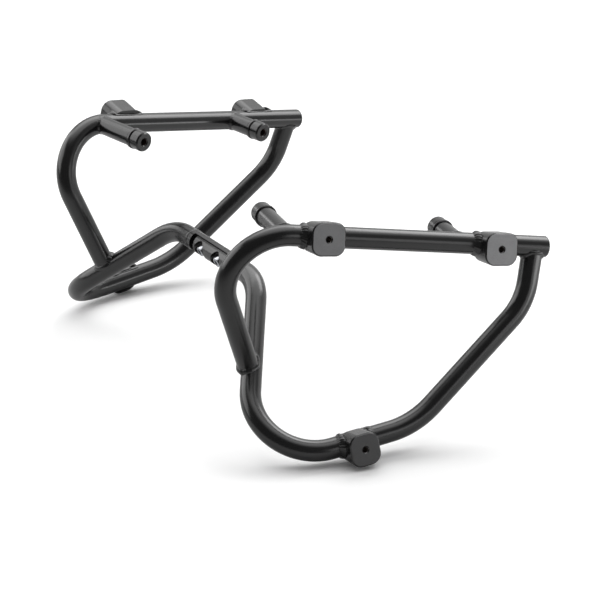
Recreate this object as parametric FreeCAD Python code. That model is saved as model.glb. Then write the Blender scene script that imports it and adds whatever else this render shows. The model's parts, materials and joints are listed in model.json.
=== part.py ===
import FreeCAD, Part
import math
import os

from FreeCAD import Vector

# Pair of tubular steel side bag carriers for a motorcycle, bolted together by a cross link.
# Millimetres. X runs forward, Y to the rider's left and Z up.
# The right-hand carrier is built first and mirrored across the middle plane, Y = 0.
# Everything is laid out from the middle of the cross link and moved at the end,
# so that the origin lies on the floor below the middle of the whole carrier.

# Tubes
TUBE_OD = 19.5
TUBE_WALL = 2.0
TUBE_END_ROUND = 1.2
POST_OD = 18.0
POST_WALL = 2.0
EAR_TRIM = 3.0  # a coped tube stops this far short of the axis that it meets
SAME_POINT = 0.01  # points closer than this count as one

# The two flat planes that hold the bags close in to the rear and spread out at the foot
TOE_DEG = 7.0
LEAN_DEG = 12.0
PLANE_REACH = 201.0  # from the middle of the link out to the tube axes in a plane

# Corners of the tube axes in a plane: how far each lies ahead of the link and above it
RAIL_FRONT_AHEAD = 247.0
RAIL_FRONT_UP = -4.0
RAIL_CORNER_AHEAD = -81.5
RAIL_CORNER_UP = 55.5
DROP_CORNER_AHEAD = 221.5
DROP_CORNER_UP = -53.0
LOW_FRONT_AHEAD = 102.5
LOW_FRONT_UP = -146.8
LOW_REAR_AHEAD = -63.3
LOW_REAR_UP = -163.3
HOOP_FOOT_SETBACK = 13.0  # along the rail from its front end
LEG_SHARE = 0.53  # how far up the riser the rail's leg meets it
LEG_SET_BACK = 2.5  # the leg's axis passes this far behind the riser's
LINK_CORNER_Y = 81.5  # the riser turns into the cross link here

# Bend radii on the tube axes
RAIL_BEND = 48.5
DROP_BEND = 59.0
LOW_FRONT_BEND = 83.5
LOW_REAR_BEND = 53.5
LINK_BEND = 53.0

# Bag pads: blocks with a flat outer face and a threaded hole in the middle
RAIL_PAD_WIDTH = 32.0
BOTTOM_PAD_WIDTH = 28.5
PAD_HEIGHT = 30.0
PAD_CORNER = 9.5
PAD_REACH = 24.0  # from the tube axis out to the face
PAD_TAPER = 1.2  # the back is this much lower above and below
PAD_EDGE = 1.2
PAD_HOLE_D = 5.0
PAD_HOLE_DEPTH = 12.0
PAD_MOUTH_D = 7.2
REAR_PAD_SETBACK = 226.3  # along the rail from its front end
FRONT_PAD_SETBACK = 57.0
BOTTOM_PAD_AHEAD = 106.5  # along the bottom run from the low rear corner
REAR_PAD_DROP = 0.0  # below the tube axis
FRONT_PAD_DROP = 2.0
BOTTOM_PAD_DROP = 2.5
RAIL_PAD_TURN_DEG = 2.5  # the pads on the rail sit flatter than the rail runs

# Posts that bolt to the motorcycle, and the turned bushes in their inner ends
POST_YAW_DEG = 12.0  # the tips point this far forward of straight inward
POST_DIP_DEG = 2.0
REAR_POST_SETBACK = 258.0  # along the rail from its front end
FRONT_POST_SETBACK = 90.0
REAR_POST_REACH = 71.0  # from the rail axis in to the tip
FRONT_POST_REACH = 51.0
NOSE_D = 19.5
NOSE_LENGTH = 11.0
NOSE_CHAMFER = 1.4
FLANGE_D = 20.8
FLANGE_LENGTH = 4.0
FLANGE_CHAMFER = 0.8
GROOVE_D = 17.2
NOSE_GROOVE = 1.2
TUBE_GROOVE = 1.0
SPIGOT_LENGTH = 14.0
POST_HOLE_D = 6.8
POST_HOLE_DEPTH = 24.0
POST_MOUTH_D = 9.0

# Cross link: two half-round tongues lie on each other and are held by two cap screws
LINK_TILT_DEG = 20.0  # the screw heads face the rear and this much down
LINK_WELD_Y = 43.0  # the tube ends here and the solid link end starts
LINK_SHOULDER_Y = 35.5
TONGUE_TIP_Y = 29.5
TONGUE_TIP_ROUND = 2.0
SPLIT_SLOT = 1.6  # width of the slot that shows between the tongues
SPLIT_SLOT_DEPTH = 2.5
LINK_SPIGOT_LENGTH = 12.0
SCREW_Y = 16.5
SCREW_D = 6.0
SCREW_LENGTH = 10.0
TIP_CHAMFER = 0.8
HEAD_D = 10.0
HEAD_HEIGHT = 6.0
HEAD_ROUND = 0.6
HEX_ACROSS_FLATS = 5.0
HEX_DEPTH = 3.0
HEAD_SEAT = 3.0  # thickness left under a screw head
POCKET_CLEARANCE = 4.4
SHANK_CLEARANCE = 0.3

# Sizes that follow
TUBE_R = TUBE_OD / 2
BORE_R = TUBE_R - TUBE_WALL
POST_R = POST_OD / 2
POST_BORE_R = POST_R - POST_WALL
BUSH_STAND_OUT = NOSE_LENGTH + NOSE_GROOVE + FLANGE_LENGTH + TUBE_GROOVE
TOE = math.radians(TOE_DEG)
LEAN = math.radians(LEAN_DEG)
UP = Vector(0, 0, 1)
FORWARD = Vector(math.cos(TOE), -math.sin(TOE), 0)
LEVEL_OUT = Vector(-math.sin(TOE), -math.cos(TOE), 0)
OUT = LEVEL_OUT * math.cos(LEAN) + UP * math.sin(LEAN)
PLANE_UP = UP * math.cos(LEAN) - LEVEL_OUT * math.sin(LEAN)


def in_plane(ahead, above):
    """Point of the right-hand bag plane at a place ahead of the link and above it."""
    return FORWARD * ahead + PLANE_UP * above + OUT * PLANE_REACH


def towards(start, end):
    """Unit vector from one point to another."""
    return (end - start).normalize()


def rod(start, end, radius):
    """Round solid between two points."""
    return Part.makeCylinder(radius, start.distanceToPoint(end), start, end - start)


def round_bar(corners, bends, radius):
    """Round solid along straight runs that are joined by tangent bends."""
    pieces = []
    run_start = corners[0]
    for before, corner, after, bend in zip(corners, corners[1:], corners[2:], bends):
        arriving = towards(before, corner)
        leaving = towards(corner, after)
        turn = arriving.getAngle(leaving)
        setback = bend * math.tan(turn / 2)
        arc_start = corner - arriving * setback
        axis = arriving.cross(leaving)
        centre = arc_start + axis.cross(arriving).normalize() * bend
        section = Part.Face(Part.Wire(Part.makeCircle(radius, arc_start, arriving)))
        pieces.append(rod(run_start, arc_start, radius))
        pieces.append(section.revolve(centre, axis, math.degrees(turn)))
        run_start = corner + leaving * setback
    pieces.append(rod(run_start, corners[-1], radius))
    return pieces[0].multiFuse(pieces[1:]).removeSplitter()


def turned(profile):
    """Solid of revolution about Z from (radius, height) pairs, the first and last on the axis."""
    points = [Vector(radius, 0, height) for radius, height in profile]
    outline = Part.makePolygon(points + points[:1])
    return Part.Face(outline).revolve(Vector(), UP, 360)


def blind_hole(diameter, mouth_diameter, depth):
    """Cutter for a hole down from Z = 0 with a 45 degree lead-in at its mouth."""
    radius = diameter / 2
    mouth = mouth_diameter / 2
    return turned([(0, -depth), (radius, -depth), (radius, radius - mouth), (mouth, 0), (0, 0)])


def placed(shape, origin, x_axis, y_axis, z_axis):
    """Copy of a shape moved from the world axes to the given ones."""
    matrix = FreeCAD.Matrix(
        x_axis.x, y_axis.x, z_axis.x, origin.x,
        x_axis.y, y_axis.y, z_axis.y, origin.y,
        x_axis.z, y_axis.z, z_axis.z, origin.z,
    )
    return shape.transformed(matrix, copy=True)


# Points and runs of the right-hand tube axes
rail_front = in_plane(RAIL_FRONT_AHEAD, RAIL_FRONT_UP)
rail_corner = in_plane(RAIL_CORNER_AHEAD, RAIL_CORNER_UP)
drop_corner = in_plane(DROP_CORNER_AHEAD, DROP_CORNER_UP)
low_front = in_plane(LOW_FRONT_AHEAD, LOW_FRONT_UP)
low_rear = in_plane(LOW_REAR_AHEAD, LOW_REAR_UP)
link_corner = Vector(0, -LINK_CORNER_Y, 0)
link_weld = Vector(0, -LINK_WELD_Y, 0)
rearward = towards(rail_front, rail_corner)
hoop_foot = rail_front + rearward * HOOP_FOOT_SETBACK
leg_foot = low_rear + (link_corner - low_rear) * LEG_SHARE - FORWARD * LEG_SET_BACK
leg_end = leg_foot - towards(rail_corner, leg_foot) * EAR_TRIM
hoop_start = hoop_foot + towards(hoop_foot, drop_corner) * EAR_TRIM
rail_path = [rail_front, rail_corner, leg_end]
rail_bends = [RAIL_BEND]
hoop_path = [hoop_start, drop_corner, low_front, low_rear, link_corner, link_weld]
hoop_bends = [DROP_BEND, LOW_FRONT_BEND, LOW_REAR_BEND, LINK_BEND]
rail_bar = round_bar(rail_path, rail_bends, TUBE_R)
hoop_bar = round_bar(hoop_path, hoop_bends, TUBE_R)


def top_rail_tube():
    """Bent tube along the top: open at the front, its leg coped to the hoop's riser."""
    edges = rail_bar.Edges
    end_edges = [edge for edge in edges if edge.CenterOfMass.isEqual(rail_front, SAME_POINT)]
    rounded_bar = rail_bar.makeFillet(TUBE_END_ROUND, end_edges)
    riser = rod(low_rear, link_corner, TUBE_R)
    return rounded_bar.cut(round_bar(rail_path, rail_bends, BORE_R)).cut(riser)


def hoop_tube():
    """Bent tube from its foot under the rail round the bottom and up to the cross link."""
    rail_run = rod(rail_front, rail_corner, TUBE_R)
    return hoop_bar.cut(round_bar(hoop_path, hoop_bends, BORE_R)).cut(rail_run)


def bag_pad(axis_point, along, width, drop, tube_bar):
    """Tapered block with a bevelled face, a threaded hole and its back shaped to the tube."""
    half_width = width / 2
    outlines = []
    for level, half_height in ((0, PAD_HEIGHT / 2 - PAD_TAPER), (PAD_REACH, PAD_HEIGHT / 2)):
        signs = ((-1, -1), (1, -1), (1, 1), (-1, 1), (-1, -1))
        points = [Vector(sx * half_width, sy * half_height, level) for sx, sy in signs]
        outlines.append(Part.makePolygon(points))
    block = Part.makeLoft(outlines, True, True)
    side_edges = [edge for edge in block.Edges if edge.BoundBox.ZLength > PAD_REACH / 2]
    block = block.makeFillet(PAD_CORNER, side_edges)
    face_edges = [edge for edge in block.Edges if edge.BoundBox.ZMin > PAD_REACH / 2]
    block = block.makeChamfer(PAD_EDGE, face_edges)
    hole = blind_hole(PAD_HOLE_D, PAD_MOUTH_D, PAD_HOLE_DEPTH)
    hole.translate(Vector(0, 0, PAD_REACH))
    upward = OUT.cross(along)
    centre = axis_point - upward * drop
    return placed(block.cut(hole), centre, along, upward, OUT).cut(tube_bar)


def post_parts(setback, reach):
    """Post tube, coped to the rail, and the threaded bush in its inner end."""
    foot = rail_front + rearward * setback
    yaw = math.radians(POST_YAW_DEG)
    dip = math.radians(POST_DIP_DEG)
    inward = Vector(math.sin(yaw) * math.cos(dip), math.cos(yaw) * math.cos(dip), -math.sin(dip))
    level_rearward = Vector(-math.cos(yaw), math.sin(yaw), 0)
    tube_end = reach - BUSH_STAND_OUT
    start = Vector(0, 0, EAR_TRIM)
    end = Vector(0, 0, tube_end)
    tube = rod(start, end, POST_R).cut(rod(start, end, POST_BORE_R))
    flange_start = tube_end + TUBE_GROOVE
    flange_end = flange_start + FLANGE_LENGTH
    nose_start = flange_end + NOSE_GROOVE
    flange_edge = FLANGE_D / 2 - FLANGE_CHAMFER
    bush = turned([
        (0, tube_end - SPIGOT_LENGTH), (POST_BORE_R, tube_end - SPIGOT_LENGTH),
        (POST_BORE_R, tube_end), (GROOVE_D / 2, tube_end), (GROOVE_D / 2, flange_start),
        (flange_edge, flange_start), (FLANGE_D / 2, flange_start + FLANGE_CHAMFER),
        (FLANGE_D / 2, flange_end - FLANGE_CHAMFER), (flange_edge, flange_end),
        (GROOVE_D / 2, flange_end), (GROOVE_D / 2, nose_start), (NOSE_D / 2, nose_start),
        (NOSE_D / 2, reach - NOSE_CHAMFER), (NOSE_D / 2 - NOSE_CHAMFER, reach), (0, reach),
    ])
    hole = blind_hole(POST_HOLE_D, POST_MOUTH_D, POST_HOLE_DEPTH)
    hole.translate(Vector(0, 0, reach))
    axes = (foot, level_rearward, inward.cross(level_rearward), inward)
    return placed(tube, *axes).cut(rail_bar), placed(bush.cut(hole), *axes)


def link_axes():
    """Origin and axes of the link: Y along it and Z towards the screw heads."""
    tilt = math.radians(LINK_TILT_DEG)
    heads = Vector(-math.cos(tilt), 0, -math.sin(tilt))
    along = Vector(0, 1, 0)
    return Vector(), along.cross(heads), along, heads


def at_y(y):
    """Point on the link's own axis."""
    return Vector(0, y, 0)


def half_round_tongue(side, face_side):
    """Half-round tongue from its shoulder to its rounded tip, on one side of the split."""
    bar = rod(at_y(side * LINK_SHOULDER_Y), at_y(-side * TONGUE_TIP_Y), TUBE_R)
    corner = Vector(-TUBE_R, -LINK_SHOULDER_Y, min(0, face_side * TUBE_R))
    tongue = bar.common(Part.makeBox(TUBE_OD, 2 * LINK_SHOULDER_Y, TUBE_R, corner))
    arcs = [edge for edge in tongue.Edges if edge.BoundBox.ZLength > TUBE_R / 2]
    tip_arc = min(arcs, key=lambda edge: side * edge.CenterOfMass.y)
    tongue = tongue.makeFillet(TONGUE_TIP_ROUND, [tip_arc])
    low_z = min(0, face_side * SPLIT_SLOT / 2)
    for low_x in (-TUBE_R, TUBE_R - SPLIT_SLOT_DEPTH):
        corner = Vector(low_x, -LINK_SHOULDER_Y, low_z)
        slot = Part.makeBox(SPLIT_SLOT_DEPTH, 2 * LINK_SHOULDER_Y, SPLIT_SLOT / 2, corner)
        tongue = tongue.cut(slot)
    return tongue


def link_end(side, face_side, hole_cutter):
    """Solid end of one link arm: spigot in the tube, round shoulder and drilled tongue."""
    spigot = rod(at_y(side * (LINK_WELD_Y + LINK_SPIGOT_LENGTH)), at_y(side * LINK_WELD_Y), BORE_R)
    shoulder = rod(at_y(side * LINK_WELD_Y), at_y(side * LINK_SHOULDER_Y), TUBE_R)
    solid = spigot.multiFuse([shoulder, half_round_tongue(side, face_side)]).removeSplitter()
    for screw_y in (-SCREW_Y, SCREW_Y):
        cutter = hole_cutter.copy()
        cutter.translate(at_y(screw_y))
        solid = solid.cut(cutter)
    return placed(solid, *link_axes())


def pocket_cutter():
    """Clearance hole and head pocket in the tongue under the screw heads."""
    shank = rod(Vector(0, 0, -TUBE_R), Vector(0, 0, TUBE_OD), SCREW_D / 2 + SHANK_CLEARANCE)
    pocket = rod(Vector(0, 0, HEAD_SEAT), Vector(0, 0, TUBE_OD), HEAD_D / 2 + POCKET_CLEARANCE)
    return shank.fuse(pocket)


def tapped_cutter():
    """Tapped hole through the other tongue, at the screw's own diameter."""
    return rod(Vector(0, 0, -TUBE_OD), Vector(0, 0, TUBE_R), SCREW_D / 2)


def cap_screw(screw_y):
    """Cap screw with a hexagon socket."""
    shank_r = SCREW_D / 2
    tip = HEAD_SEAT - SCREW_LENGTH
    head_top = HEAD_SEAT + HEAD_HEIGHT
    screw = turned([
        (0, tip), (shank_r - TIP_CHAMFER, tip), (shank_r, tip + TIP_CHAMFER), (shank_r, HEAD_SEAT),
        (HEAD_D / 2, HEAD_SEAT), (HEAD_D / 2, head_top), (0, head_top),
    ])
    rim = max(screw.Edges, key=lambda edge: edge.BoundBox.ZMin + edge.BoundBox.XLength)
    screw = screw.makeFillet(HEAD_ROUND, [rim])
    hex_radius = HEX_ACROSS_FLATS / math.sqrt(3)
    corner = Vector(hex_radius, 0, 0)
    turns = [FreeCAD.Rotation(UP, 60 * step) for step in range(7)]
    hexagon = Part.Face(Part.makePolygon([turn.multVec(corner) for turn in turns]))
    hexagon.translate(Vector(0, 0, head_top))
    socket = hexagon.extrude(Vector(0, 0, -HEX_DEPTH))
    screw = screw.cut(socket)
    screw.translate(at_y(screw_y))
    return placed(screw, *link_axes())


def right_side_parts():
    """Everything of the right-hand carrier that the left-hand one mirrors."""
    forward_low = towards(low_rear, low_front)
    pad_turn = math.radians(RAIL_PAD_TURN_DEG)
    rail_pad_along = rearward * -math.cos(pad_turn) - OUT.cross(rearward) * math.sin(pad_turn)
    parts = {"top_rail_tube": top_rail_tube(), "hoop_tube": hoop_tube()}
    rail_places = (
        ("rear", REAR_PAD_SETBACK, REAR_PAD_DROP, REAR_POST_SETBACK, REAR_POST_REACH),
        ("front", FRONT_PAD_SETBACK, FRONT_PAD_DROP, FRONT_POST_SETBACK, FRONT_POST_REACH),
    )
    for place, pad_setback, pad_drop, post_setback, post_reach in rail_places:
        pad_point = rail_front + rearward * pad_setback
        pad = bag_pad(pad_point, rail_pad_along, RAIL_PAD_WIDTH, pad_drop, rail_bar)
        parts[place + "_bag_pad"] = pad
        tube, bush = post_parts(post_setback, post_reach)
        parts[place + "_post_tube"] = tube
        parts[place + "_post_bush"] = bush
    bottom_point = low_rear + forward_low * BOTTOM_PAD_AHEAD
    pad = bag_pad(bottom_point, forward_low, BOTTOM_PAD_WIDTH, BOTTOM_PAD_DROP, hoop_bar)
    parts["bottom_bag_pad"] = pad
    return parts


def carrier_parts():
    """All nodes by name, about the middle of the cross link."""
    parts = {}
    for name, shape in right_side_parts().items():
        parts["right_" + name] = shape
        parts["left_" + name] = shape.mirror(Vector(), Vector(0, 1, 0))
    parts["right_link_end"] = link_end(-1, 1, pocket_cutter())
    parts["left_link_end"] = link_end(1, -1, tapped_cutter())
    parts["link_screws"] = Part.makeCompound([cap_screw(-SCREW_Y), cap_screw(SCREW_Y)])
    return parts


def export(parts):
    """Move the origin to the floor below the middle and write one file for each node."""
    box = Part.makeCompound(list(parts.values())).optimalBoundingBox(False, False)
    to_floor = Vector(-box.Center.x, -box.Center.y, -box.ZMin)
    os.makedirs("parts", exist_ok=True)
    for name, shape in parts.items():
        shape.translate(to_floor)
        shape.exportStep("parts/" + name + ".step")


export(carrier_parts())
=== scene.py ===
import json
from math import ceil, cos, pi, radians, sin, sqrt

import bmesh
import bpy
from mathutils import Matrix, Vector, noise


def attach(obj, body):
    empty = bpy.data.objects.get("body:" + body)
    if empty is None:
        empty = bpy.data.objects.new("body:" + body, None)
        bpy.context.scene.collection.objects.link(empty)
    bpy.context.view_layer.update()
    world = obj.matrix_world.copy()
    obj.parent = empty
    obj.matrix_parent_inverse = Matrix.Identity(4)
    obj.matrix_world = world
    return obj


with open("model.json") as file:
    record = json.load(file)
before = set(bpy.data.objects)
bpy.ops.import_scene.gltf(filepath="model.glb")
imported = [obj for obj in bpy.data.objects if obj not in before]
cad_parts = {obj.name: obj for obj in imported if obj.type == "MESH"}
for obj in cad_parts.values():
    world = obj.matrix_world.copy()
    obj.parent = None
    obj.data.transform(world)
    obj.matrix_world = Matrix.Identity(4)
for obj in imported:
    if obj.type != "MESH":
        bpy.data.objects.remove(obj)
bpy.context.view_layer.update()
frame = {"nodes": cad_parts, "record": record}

# A pair of black powder-coated tube frames that carry a motorcycle's side bags, bolted together
# by a cross link. Metres. X runs forward, Y to the rider's left and Z up.
MILLIMETRE = 0.001

# Where the tube axes run on the right-hand side, so that the weld beads find their seams
LINK_CENTRE = Vector((-67.825, 0, 123.996)) * MILLIMETRE
LINK_ARM = Vector((0, -81.5, 0)) * MILLIMETRE
TOE = radians(7)
LEAN = radians(12)
PLANE_REACH = 201 * MILLIMETRE
LEVEL_OUT = Vector((-sin(TOE), -cos(TOE), 0))
UPRIGHT = Vector((0, 0, 1))
FORWARD = Vector((cos(TOE), -sin(TOE), 0))
OUT = LEVEL_OUT * cos(LEAN) + UPRIGHT * sin(LEAN)
PLANE_UP = UPRIGHT * cos(LEAN) - LEVEL_OUT * sin(LEAN)
TUBE_R = 9.75 * MILLIMETRE
POST_R = 9 * MILLIMETRE


def in_plane(forward, up):
    """Point of the right-hand frame's plane, from millimetres forward of and above the link."""
    return LINK_CENTRE + (FORWARD * forward + PLANE_UP * up) * MILLIMETRE + OUT * PLANE_REACH


RAIL_FRONT = in_plane(247, -4)
RAIL_CORNER = in_plane(-81.5, 55.5)
DROP_CORNER = in_plane(221.5, -53)
LOW_FRONT = in_plane(102.5, -146.8)
LOW_REAR = in_plane(-63.3, -163.3)
LINK_CORNER = LINK_CENTRE + LINK_ARM
RAIL_RUN = (RAIL_CORNER - RAIL_FRONT).normalized()
LOW_RUN = (LOW_FRONT - LOW_REAR).normalized()
RISER_RUN = (LINK_CORNER - LOW_REAR).normalized()
LEG_SHARE = 0.53  # how far up the riser the leg's seat lies
LEG_SET_BACK = 2.5 * MILLIMETRE  # how far behind the riser's axis the leg's foot lies
LEG_SEAT = LOW_REAR.lerp(LINK_CORNER, LEG_SHARE)
LEG_FOOT = LEG_SEAT - FORWARD * LEG_SET_BACK
LEG_RUN = (RAIL_CORNER - LEG_FOOT).normalized()
POST_YAW = radians(12)
POST_DIP = radians(2)
POST_RUN = Vector((sin(POST_YAW) * cos(POST_DIP), cos(POST_YAW) * cos(POST_DIP), -sin(POST_DIP)))
PAD_HALF = 16 * MILLIMETRE
BOTTOM_PAD_HALF = 14.25 * MILLIMETRE


def on_rail(back):
    """Point of the right-hand rail's axis, from millimetres behind its front end."""
    return RAIL_FRONT + RAIL_RUN * back * MILLIMETRE


HOOP_FOOT = on_rail(13)
DROP_RUN = (DROP_CORNER - HOOP_FOOT).normalized()
# Each bag pad: its middle on the tube's axis, the way along the tube and half its width
PAD_PLACES = {
    "rear": (on_rail(226.3), -RAIL_RUN, PAD_HALF),
    "front": (on_rail(57), -RAIL_RUN, PAD_HALF),
    "bottom": (LOW_REAR + LOW_RUN * 106.5 * MILLIMETRE, LOW_RUN, BOTTOM_PAD_HALF),
}
POST_FEET = {"rear": on_rail(258), "front": on_rail(90)}

# Weld beads, as (how far it stands out of the corner, width across the corner) in half sizes
PAD_BEAD = (2.3 * MILLIMETRE, 6.0 * MILLIMETRE)
POST_BEAD = (1.7 * MILLIMETRE, 3.2 * MILLIMETRE)
FOOT_BEAD = (2.0 * MILLIMETRE, 3.5 * MILLIMETRE)
LEG_BEAD = (2.8 * MILLIMETRE, 4.8 * MILLIMETRE)
LINK_BEAD = (0.6 * MILLIMETRE, 1.8 * MILLIMETRE)
LINK_WELD = Vector((0, -43, 0)) * MILLIMETRE  # the link's bead, from its centre
SADDLE_RISE = 0.55  # a saddle's weld stays this share of the branch's radius off the main axis
FLANK_SIZE = 0.4  # size of a saddle's bead where the two tubes' surfaces run on smoothly
CROTCH_SIZE = 0.55  # and how much it gains as they close into a corner
PAD_BACK_SIZE = 0.4  # size of a pad's bead along the back of the tube
PAD_BEAD_AWAY = 1.5 * MILLIMETRE  # how far off the pad's end its bead runs
BEAD_SIDES = 14  # corners of a bead's section
BEAD_STEP = 0.5 * MILLIMETRE  # from one section of a bead to the next
RING_BOW = 0.35  # how far a section's crown lags behind its foot
SEAM_POINTS = 48
CORNER_EASING = 14  # rounds of smoothing at a seam's corners
RIPPLE_PITCH = 2.2 * MILLIMETRE
RIPPLE_DEPTH = 0.06
# Slow and quick unevenness along a bead, each with its own row of the noise
WANDER_PITCH = 8 * MILLIMETRE
WANDER_DEPTH = 0.20
WANDER_ROW = 0.3
LUMP_PITCH = 3.4 * MILLIMETRE
LUMP_DEPTH = 0.17
LUMP_ROW = 7.7

# Finishes
SIDES = ("right", "left")
COATED = ("top_rail_tube", "hoop_tube", "rear_post_tube", "front_post_tube", "link_end")
FINE_SHARE = 0.6  # how much the finer marks count in a speckle
RELIEF = 0.5  # strength of every relief
COLD_CAST = 1.03  # how much more blue than red the greys have
TONE_RANGE = (0.35, 0.65)  # part of a cloudy speckle that goes from one tone to the other

COAT_IOR = 1.65
COAT_TONES = (0.005, 0.008)  # darkest and palest grey
COAT_CLOUD = 28 * MILLIMETRE
COAT_DUST = 0.35 * MILLIMETRE
COAT_ROUGHNESS = 0.15
COAT_UNEVEN = 0.06  # what clouds and dust each add to the roughness
PEEL_SIZE = 1.1 * MILLIMETRE  # orange peel
PEEL_DEPTH = 0.05  # millimetres, as all depths of relief here
DUST_RELIEF = 0.6  # the dust's relief, as a share of the orange peel's
WELD_GRAIN = 1.8  # a weld's relief, against that of the tubes

THREAD_PITCH = 0.4  # as a share of the hole's radius
# Round a threaded hole, in millimetres: where its flat end starts along the axis, how wide the
# bevelled rim is, and how far past its wall and its mouth the hole's own finish reaches
PAD_HOLE = (1.5, 1.0, 0.4, 0.6)
BUSH_HOLE = (1.3, 0.9, 0.5, 0.7)

PAD_TONES = (0.005, 0.009)
PAD_PALENESS_AND_PAINTED_LIGHT = {"rear": 0.21, "front": 0.27, "bottom": 0.035}  # a face's own paler finish, plus painted light on the upper faces and painted shade on the bottom one
PAD_FACE_TONES = (0.85, 1.15)  # against its paleness, which carries the painted light and shade
PAD_CLOUD = 9 * MILLIMETRE
PAD_DUST = 0.45 * MILLIMETRE
PAD_GRAIN_CLOUD = 0.4  # what the clouds add to the grain of the face
PAD_GRAIN_RANGE = (0.45, 0.95)
PAD_ROUGHNESS = 0.17
PAD_FACE_ROUGHER = 0.10
PAD_HOLE_ROUGHER = 0.12
PAD_DUST_ROUGHER = 0.10
PAD_THREAD_DEPTH = 0.6
BARE_STEEL = (0.30, 0.27, 0.25, 1)

BUSH_TONE = 0.007
BUSH_NOSE_TONE = 0.010
BUSH_CLOUD = 7 * MILLIMETRE
BUSH_DUST = 0.4 * MILLIMETRE
BUSH_ROUGHNESS = 0.16
BUSH_HOLE_ROUGHER = 0.3
BUSH_DUST_ROUGHER = 0.08
BUSH_THREAD_DEPTH = 0.8
BUSH_DUST_DEPTH = 0.04
LATHE_PITCH = 0.7 * MILLIMETRE
LATHE_DEPTH = 0.012
RUST_RANGE = (0.3, 0.7)
DARK_RUST = (0.010, 0.005, 0.004, 1)
PALE_RUST = (0.040, 0.013, 0.008, 1)

DULL_ZINC = (0.42, 0.44, 0.48, 1)
BRIGHT_ZINC = (0.60, 0.61, 0.63, 1)
ZINC_CLOUD = 3 * MILLIMETRE
ZINC_DUST = 0.5 * MILLIMETRE
ZINC_ROUGHNESS = 0.18
ZINC_DUST_ROUGHER = 0.14
ZINC_DUST_DEPTH = 0.03


def seen_from(azimuth, rise=0.0):
    """Direction towards something that stands round the object, from the right-hand side at 0."""
    return Vector((sin(azimuth) * cos(rise), -cos(azimuth) * cos(rise), sin(rise)))


# Camera and studio
CAMERA_AZIMUTH = radians(-30.211)
CAMERA_RISE = radians(21.84)
CAMERA_DISTANCE = 2.305794
CAMERA_TARGET = Vector((25.563, 0.196, 56.734)) * MILLIMETRE
CAMERA_FOCAL_PIXELS = 2346.54
PHOTO_PIXELS = 600
SENSOR = 36  # millimetres
# Light from the world, towards a side: the range of how far a direction points there, then the
# strength at its start and end
BACKDROP_SIDE = -seen_from(CAMERA_AZIMUTH)
BACKDROP_LIGHT = (-0.1, 0.6, 0.12, 0.6)
CEILING_SIDE = seen_from(radians(135), radians(72))
CEILING_LIGHT = (0.65, 0.97, 0.0, 1.5)
WALL_SIDE = Vector((1, 0, 0))
WALL_LIGHT = (0.0, 0.8, 0.0, 0.25)
FLOOR_HALF = 6
FLOOR_SEEN = 1.0  # how pale the floor looks to the camera
# What the floor gives back to the object, towards its dim side: from and to how many metres out,
# then the share at the start and end
FLOOR_DIM_SIDE = seen_from(radians(-60))
FLOOR_BOUNCE = (0.15, 0.9, 0.55, 0.12)
FLOOR_CLOUD = 0.6
FLOOR_UNEVEN = 0.02
STUDIO_MIDDLE = Vector((0, 0, 100)) * MILLIMETRE
LAMP_WATTS = 4  # power of a square metre of softbox at brightness 1
# Each softbox: azimuth and rise in degrees, distance, width, height and brightness
SOFTBOXES = {
    "back_softbox": (168, 56, 2.2, 2.6, 1.3, 0.8),
    "right_softbox": (103, 44, 2.0, 1.2, 0.95, 2.3),
    "left_panel": (-133, 24, 2.0, 2.2, 1.4, 1.3),
    "right_card": (46, -1, 0.9, 0.7, 0.16, 2.3),
    "front_panel": (16, 10, 2.5, 1.0, 0.9, 0.8),
    "back_strip": (192, 17, 2.2, 0.22, 0.5, 2.0),
}


class Value:
    """A number or vector that varies over a surface. Sums with it add Math nodes."""

    def __init__(self, finish, socket):
        self.finish = finish
        self.socket = socket

    def sum(self, operation, first, second):
        return self.finish.node("Math", {"operation": operation}, {0: first, 1: second})

    def __add__(self, other):
        return self.sum("ADD", self, other)

    def __radd__(self, other):
        return self.sum("ADD", other, self)

    def __sub__(self, other):
        return self.sum("SUBTRACT", self, other)

    def __rsub__(self, other):
        return self.sum("SUBTRACT", other, self)

    def __mul__(self, other):
        return self.sum("MULTIPLY", self, other)

    def __rmul__(self, other):
        return self.sum("MULTIPLY", other, self)

    def __truediv__(self, other):
        return self.sum("DIVIDE", self, other)

    def __gt__(self, other):
        return self.sum("GREATER_THAN", self, other)

    def __lt__(self, other):
        return self.sum("LESS_THAN", self, other)


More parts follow.
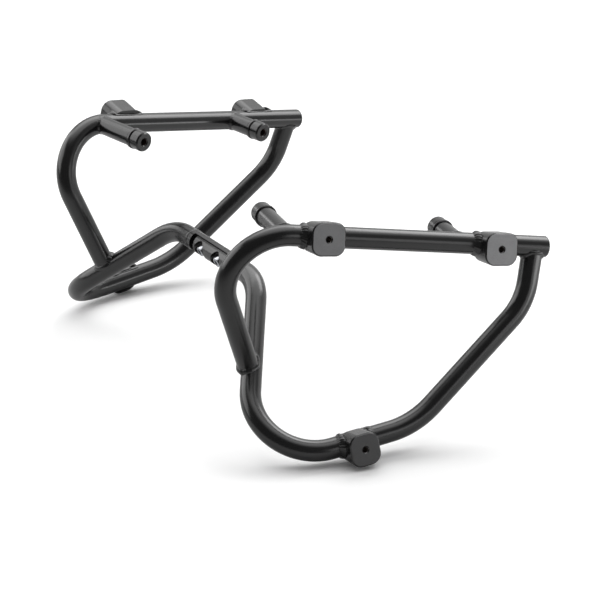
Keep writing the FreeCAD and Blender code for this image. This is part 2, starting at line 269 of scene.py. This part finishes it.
class Finish:
    """A surface finish: a node tree that ends in one shader."""

    def __init__(self, tree):
        self.tree = tree
        self.tree.nodes.clear()

    def node(self, kind, settings=None, inputs=None, output=0):
        made = self.tree.nodes.new("ShaderNode" + kind)
        for name, setting in (settings or {}).items():
            setattr(made, name, setting)
        for name, value in (inputs or {}).items():
            if isinstance(value, Value):
                self.tree.links.new(value.socket, made.inputs[name])
            else:
                made.inputs[name].default_value = value
        return Value(self, made.outputs[output]) if made.outputs else None

    def place(self):
        """Where a point lies, in the object's own frame."""
        return self.node("TexCoord", output="Object")

    def speckle(self, size, detail=2.0):
        """Cloudy noise from 0 to 1 with marks of about the given size in metres."""
        return self.node("TexNoise", {}, {
            "Vector": self.place(), "Scale": 1 / size, "Detail": detail, "Roughness": FINE_SHARE,
        })

    def spread(self, value, low, high, start=0.0, end=1.0):
        """Smooth ramp of a value from one range to another."""
        return self.node("MapRange", {"interpolation_type": "SMOOTHSTEP"}, {
            "Value": value, "From Min": low, "From Max": high, "To Min": start, "To Max": end,
        })

    def blend(self, share, first, second):
        """Colour that goes from the first to the second as the share goes from 0 to 1."""
        return self.node("Mix", {"data_type": "RGBA"}, {0: share, 6: first, 7: second}, output=2)

    def towards(self, direction, axis):
        """How far a direction points along an axis."""
        return self.node("VectorMath", {"operation": "DOT_PRODUCT"}, {0: direction, 1: axis},
                         output="Value")

    def bump(self, height, grain=1.0):
        """Surface relief from a height in millimetres."""
        return self.node("Bump", {}, {
            "Height": height, "Distance": MILLIMETRE, "Strength": RELIEF * grain,
        })

    def surface(self, **inputs):
        """Close the finish with a surface shader."""
        named = {name.replace("_", " "): value for name, value in inputs.items()}
        shader = self.node("BsdfPrincipled", {}, named)
        self.node("OutputMaterial", {}, {"Surface": shader})


def new_finish(name):
    """Material and the finish that fills it."""
    material = bpy.data.materials.new(name)
    material.use_nodes = True
    return material, Finish(material.node_tree)


def grey(level):
    """Neutral colour with a faint blue cast."""
    return (level, level, level * COLD_CAST, 1)


def powder_coat(name, grain=1.0):
    """Satin black powder coat: fine orange-peel relief and a slightly uneven gloss."""
    material, finish = new_finish(name)
    peel = finish.speckle(PEEL_SIZE, detail=1.0)
    dust = finish.speckle(COAT_DUST)
    cloud = finish.speckle(COAT_CLOUD, detail=3.0)
    finish.surface(
        Base_Color=finish.blend(finish.spread(cloud, *TONE_RANGE), *map(grey, COAT_TONES)),
        Roughness=COAT_ROUGHNESS + cloud * COAT_UNEVEN + dust * COAT_UNEVEN,
        IOR=COAT_IOR,
        Normal=finish.bump((peel + dust * DUST_RELIEF) * PEEL_DEPTH, grain),
    )
    return material


def give(piece, material):
    """Put one finish on a whole piece."""
    piece.data.materials.clear()
    piece.data.materials.append(material)


def hole_frame(finish, mount, zones):
    """Distance along a threaded hole's axis and from it, the flat end, the hole and the thread."""
    hole_r = mount["dims"]["r_mm"] * MILLIMETRE
    axis = Vector(mount["axis"])
    across = axis.orthogonal().normalized()
    beside = axis.cross(across)
    from_mouth = finish.node("VectorMath", {"operation": "SUBTRACT"},
                             {0: finish.place(), 1: mount["pos_m"]})

    depth = finish.towards(from_mouth, axis)
    side = finish.towards(from_mouth, across)
    other = finish.towards(from_mouth, beside)
    radius = finish.node("Math", {"operation": "SQRT"}, {0: side * side + other * other})
    angle = finish.node("Math", {"operation": "ARCTAN2"}, {0: side, 1: other})
    turns = depth / (hole_r * THREAD_PITCH) + angle / (2 * pi)
    turn = finish.node("Math", {"operation": "FRACT"}, {0: turns})
    ridge = finish.node("Math", {"operation": "ABSOLUTE"}, {0: turn - 0.5})

    end_start, rim, past_wall, past_mouth = [size * MILLIMETRE for size in zones]
    on_end = (depth > end_start) * (radius > hole_r + rim)
    in_hole = (radius < hole_r + past_wall) * (depth < past_mouth)
    return depth, radius, on_end, in_hole, ridge


def pad_coat(mount, paleness_and_painted_light):
    """Powder coat on a milled block: a paler grained face, with painted light on the upper pads
    and painted shade on the bottom one, and bare steel in its hole.
    """
    material, finish = new_finish(mount["name"] + "_coat")
    _, _, on_face, in_hole, ridge = hole_frame(finish, mount, PAD_HOLE)
    peel = finish.speckle(PEEL_SIZE, detail=1.0)
    dust = finish.speckle(PAD_DUST)
    cloud = finish.speckle(PAD_CLOUD, detail=3.0)
    coat = finish.blend(finish.spread(cloud, *TONE_RANGE), *map(grey, PAD_TONES))
    grain = finish.spread(dust + cloud * PAD_GRAIN_CLOUD, *PAD_GRAIN_RANGE)
    # the face colour holds its own paler finish plus painted light (upper pads) or painted shade
    # (bottom pad)
    face = finish.blend(grain, *[grey(paleness_and_painted_light * tone) for tone in PAD_FACE_TONES])
    rougher = on_face * PAD_FACE_ROUGHER + in_hole * PAD_HOLE_ROUGHER + dust * PAD_DUST_ROUGHER
    peel_height = (peel + dust * DUST_RELIEF) * PEEL_DEPTH
    finish.surface(
        Base_Color=finish.blend(in_hole, finish.blend(on_face, coat, face), BARE_STEEL),
        Metallic=in_hole,
        Roughness=PAD_ROUGHNESS + rougher,
        IOR=COAT_IOR,
        Normal=finish.bump(peel_height + in_hole * ridge * PAD_THREAD_DEPTH),
    )
    return material


def bush_coat(mount):
    """Thin coat over a turned bush: faint turning lines, a paler nose and a brown dry hole."""
    material, finish = new_finish(mount["name"] + "_bush_coat")
    depth, radius, on_nose, in_hole, ridge = hole_frame(finish, mount, BUSH_HOLE)
    phase = (radius + depth) * (2 * pi / LATHE_PITCH)
    lathe = finish.node("Math", {"operation": "SINE"}, {0: phase})
    dust = finish.speckle(BUSH_DUST)
    cloud = finish.speckle(BUSH_CLOUD, detail=3.0)
    coat = finish.blend(on_nose, grey(BUSH_TONE), grey(BUSH_NOSE_TONE))
    rust = finish.blend(finish.spread(cloud, *RUST_RANGE), DARK_RUST, PALE_RUST)
    turned_height = dust * BUSH_DUST_DEPTH + lathe * LATHE_DEPTH
    finish.surface(
        Base_Color=finish.blend(in_hole, coat, rust),
        Roughness=BUSH_ROUGHNESS + dust * BUSH_DUST_ROUGHER + in_hole * BUSH_HOLE_ROUGHER,
        IOR=COAT_IOR,
        Normal=finish.bump(turned_height + in_hole * ridge * BUSH_THREAD_DEPTH),
    )
    return material


def zinc_plate():
    """Bright zinc on the link screws, clouded with duller patches."""
    material, finish = new_finish("bright_zinc")
    dust = finish.speckle(ZINC_DUST, detail=3.0)
    cloud = finish.speckle(ZINC_CLOUD)
    finish.surface(
        Base_Color=finish.blend(cloud, DULL_ZINC, BRIGHT_ZINC),
        Metallic=1.0,
        Roughness=ZINC_ROUGHNESS + dust * ZINC_DUST_ROUGHER,
        Normal=finish.bump(dust * ZINC_DUST_DEPTH),
    )
    return material


def mesh_piece(name, bm, material):
    """Finished piece of the object from a bmesh, riding with the frame."""
    mesh = bpy.data.meshes.new(name)
    for face in bm.faces:
        face.smooth = True
    bm.to_mesh(mesh)
    bm.free()
    piece = bpy.data.objects.new(name, mesh)
    bpy.context.scene.collection.objects.link(piece)
    give(piece, material)
    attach(piece, "root")


def evenly(seam):
    """Points and outward directions spaced evenly round a closed seam, with its corners eased."""
    line = seam + seam[:1]
    lengths = [(after[0] - before[0]).length for before, after in zip(line, line[1:])]
    count = ceil(sum(lengths) / BEAD_STEP)
    spaced = []
    leg = 0
    passed = 0.0
    for index in range(count):
        target = sum(lengths) * index / count
        while passed + lengths[leg] < target:
            passed += lengths[leg]
            leg += 1
        share = (target - passed) / lengths[leg]
        spaced.append([near.lerp(far, share) for near, far in zip(line[leg], line[leg + 1])])
    for _ in range(CORNER_EASING):
        trios = zip(spaced[-1:] + spaced[:-1], spaced, spaced[1:] + spaced[:1])
        spaced = [[(a + b + c) / 3 for a, b, c in zip(*trio)] for trio in trios]
    return spaced


def ripple(distance, seed):
    """How thick a bead is at a distance along it: sharp ripples, a slow wander and lumps."""
    wave = abs(sin(pi * distance / RIPPLE_PITCH))
    wander = noise.noise(Vector((distance / WANDER_PITCH, seed, WANDER_ROW)))
    lump = noise.noise(Vector((distance / LUMP_PITCH, seed, LUMP_ROW)))
    return 1 + RIPPLE_DEPTH * (2 * wave - 1) + WANDER_DEPTH * wander + LUMP_DEPTH * lump


def bead_stations(seam, height, width, seed):
    """Placement of each ring of a bead: tall out of the corner, wide across it."""
    spaced = evenly(seam)
    stations = []
    for index, (point, outward) in enumerate(spaced):
        run = (spaced[(index + 1) % len(spaced)][0] - spaced[index - 1][0]).normalized()
        out = (outward - run * outward.dot(run)).normalized()
        size = outward.length * ripple(index * BEAD_STEP, seed)
        columns = (out * height * size, run.cross(out) * width * size, run * width)
        stations.append(Matrix.Translation(point) @ Matrix(columns).transposed().to_4x4())
    return stations


def swept_bead(stations):
    """Closed rippled bead: one bowed ring is extruded from station to station."""
    bm = bmesh.new()
    ring = bmesh.ops.create_circle(bm, segments=BEAD_SIDES, radius=1)["verts"]
    for vert in ring:
        vert.co.z = -RING_BOW * vert.co.x
    bmesh.ops.transform(bm, matrix=stations[0], verts=ring)
    first_edges = bm.edges[:]
    edges = first_edges
    for before, after in zip(stations, stations[1:]):
        grown = bmesh.ops.extrude_edge_only(bm, edges=edges)["geom"]
        verts = {item for item in grown if isinstance(item, bmesh.types.BMVert)}
        grown_edges = [item for item in grown if isinstance(item, bmesh.types.BMEdge)]
        edges = [edge for edge in grown_edges if verts.issuperset(edge.verts)]
        bmesh.ops.transform(bm, matrix=after @ before.inverted(), verts=list(verts))
    bmesh.ops.bridge_loops(bm, edges=first_edges + edges)
    bmesh.ops.recalc_face_normals(bm, faces=bm.faces)
    return bm


def weld(name, seam, height, width):
    """Weld bead on the right-hand side and its mirror image on the left."""
    for seed, side in enumerate(SIDES):
        bm = swept_bead(bead_stations(seam, height, width, seed + len(name)))
        if side == "left":
            bmesh.ops.scale(bm, vec=(1, -1, 1), verts=bm.verts)
            bmesh.ops.reverse_faces(bm, faces=bm.faces)
        mesh_piece(side + "_" + name + "_weld", bm, weld_coat)


def saddle_seam(foot, branch, branch_r, seat, main):
    """Seam round the foot of a branch tube that is coped on to a main tube at its seat."""
    across = branch.orthogonal().normalized()
    beside = branch.cross(across)
    flat_branch = branch - main * branch.dot(main)
    square = flat_branch.dot(flat_branch)
    seam = []
    for step in range(SEAM_POINTS):
        angle = 2 * pi * step / SEAM_POINTS
        spoke = across * cos(angle) + beside * sin(angle)
        rim = foot - seat + spoke * branch_r
        flat_rim = rim - main * rim.dot(main)
        half = flat_rim.dot(flat_branch)
        room = half * half - square * (flat_rim.dot(flat_rim) - TUBE_R * TUBE_R)
        rise = (sqrt(max(room, 0)) - half) / square
        arm = rim + branch * max(rise, SADDLE_RISE * branch_r)
        off_main = (arm - main * arm.dot(main)).normalized()
        size = FLANK_SIZE + CROTCH_SIZE * (1 - spoke.dot(off_main))
        seam.append((seat + arm, (spoke + off_main).normalized() * size))
    return seam


def pad_seam(centre, along, half_width):
    """Seam round a bag pad's foot: over the tube at each end and along it at the back."""
    upward = OUT.cross(along)
    seam = []
    for end in (1, -1):
        for step in range(SEAM_POINTS + 1):
            angle = end * pi * (step / SEAM_POINTS - 0.5)
            spoke = upward * sin(angle) + OUT * cos(angle)
            point = centre + along * end * (half_width + PAD_BEAD_AWAY) + spoke * TUBE_R
            size = PAD_BACK_SIZE + (1 - PAD_BACK_SIZE) * cos(angle)
            seam.append((point, (along * end + spoke).normalized() * size))
    return seam


def link_seam():
    """Ring round the cross link where its tube is welded to the solid end."""
    middle = LINK_CENTRE + LINK_WELD
    turns = [2 * pi * step / SEAM_POINTS for step in range(SEAM_POINTS)]
    spokes = [Vector((cos(turn), 0, sin(turn))) for turn in turns]
    return [(middle + spoke * TUBE_R, spoke) for spoke in spokes]


# Finishes on the solid pieces
mounts = {mount["name"]: mount for mount in frame["record"]["mounts"]}
tube_coat = powder_coat("powder_coat")
weld_coat = powder_coat("weld_coat", WELD_GRAIN)
for side in SIDES:
    for part in COATED:
        give(frame["nodes"][side + "_" + part], tube_coat)
    for place in PAD_PLACES:
        name = side + "_" + place + "_bag_pad"
        # each pad's face is painted paler or darker by place: painted light on the upper ones,
        # painted shade on the bottom one
        give(frame["nodes"][name], pad_coat(mounts[name], PAD_PALENESS_AND_PAINTED_LIGHT[place]))
    for place in POST_FEET:
        name = side + "_" + place + "_post"
        give(frame["nodes"][name + "_bush"], bush_coat(mounts[name]))
give(frame["nodes"]["link_screws"], zinc_plate())

# Weld beads
for place, pad in PAD_PLACES.items():
    weld(place + "_pad", pad_seam(*pad), *PAD_BEAD)
for place, foot in POST_FEET.items():
    weld(place + "_post", saddle_seam(foot, POST_RUN, POST_R, foot, RAIL_RUN), *POST_BEAD)
weld("hoop_foot", saddle_seam(HOOP_FOOT, DROP_RUN, TUBE_R, HOOP_FOOT, RAIL_RUN), *FOOT_BEAD)
weld("leg", saddle_seam(LEG_FOOT, LEG_RUN, TUBE_R, LEG_SEAT, RISER_RUN), *LEG_BEAD)
weld("link", link_seam(), *LINK_BEAD)


def white_floor():
    """Pale studio floor that stays white where nothing shades it."""
    material, finish = new_finish("white_floor")
    cloud = finish.speckle(FLOOR_CLOUD)
    seen = finish.node("LightPath", output="Is Camera Ray")
    far_out = finish.towards(finish.place(), FLOOR_DIM_SIDE)
    bounce = finish.spread(far_out, *FLOOR_BOUNCE)
    shade = bounce + seen * (FLOOR_SEEN - bounce) + cloud * FLOOR_UNEVEN
    paper = finish.node("BsdfDiffuse", {}, {"Color": shade})
    finish.node("OutputMaterial", {}, {"Surface": paper})
    return material


def studio():
    """Floor, world and lamps: white behind and above, dim on the camera's side."""
    bm = bmesh.new()
    bmesh.ops.create_grid(bm, x_segments=1, y_segments=1, size=FLOOR_HALF)
    mesh = bpy.data.meshes.new("floor")
    bm.to_mesh(mesh)
    bm.free()
    floor = bpy.data.objects.new("floor", mesh)
    bpy.context.scene.collection.objects.link(floor)
    give(floor, white_floor())

    world = bpy.data.worlds.new("studio")
    world.use_nodes = True
    bpy.context.scene.world = world
    finish = Finish(world.node_tree)
    direction = finish.node("TexCoord", output="Generated")
    backdrop = finish.spread(finish.towards(direction, BACKDROP_SIDE), *BACKDROP_LIGHT)
    ceiling = finish.spread(finish.towards(direction, CEILING_SIDE), *CEILING_LIGHT)
    wall = finish.spread(finish.towards(direction, WALL_SIDE), *WALL_LIGHT)
    seen = finish.node("LightPath", output="Is Camera Ray")
    light = finish.node("Math", {"operation": "MAXIMUM"}, {0: backdrop + ceiling + wall, 1: seen})
    sky = finish.node("Background", {}, {"Color": (1, 1, 1, 1), "Strength": light})
    finish.node("OutputWorld", {}, {"Surface": sky})

    for name, (azimuth, rise, distance, width, height, brightness) in SOFTBOXES.items():
        lamp = bpy.data.lights.new(name, "AREA")
        lamp.shape = "RECTANGLE"
        lamp.size = width
        lamp.size_y = height
        lamp.energy = LAMP_WATTS * width * height * brightness
        softbox = bpy.data.objects.new(name, lamp)
        back = seen_from(radians(azimuth), radians(rise))
        softbox.location = STUDIO_MIDDLE + back * distance
        softbox.rotation_euler = back.to_track_quat("Z", "Y").to_euler()
        softbox.visible_camera = False
        bpy.context.scene.collection.objects.link(softbox)


def photo_camera():
    """Camera where the photograph was taken from."""
    data = bpy.data.cameras.new("photo_camera")
    data.sensor_width = SENSOR
    data.lens = CAMERA_FOCAL_PIXELS * SENSOR / PHOTO_PIXELS
    camera = bpy.data.objects.new("photo_camera", data)
    back = seen_from(CAMERA_AZIMUTH, CAMERA_RISE)
    camera.location = CAMERA_TARGET + back * CAMERA_DISTANCE
    camera.rotation_euler = back.to_track_quat("Z", "Y").to_euler()
    bpy.context.scene.collection.objects.link(camera)
    bpy.context.scene.camera = camera


studio()
photo_camera()
bpy.context.scene.view_settings.view_transform = "Standard"
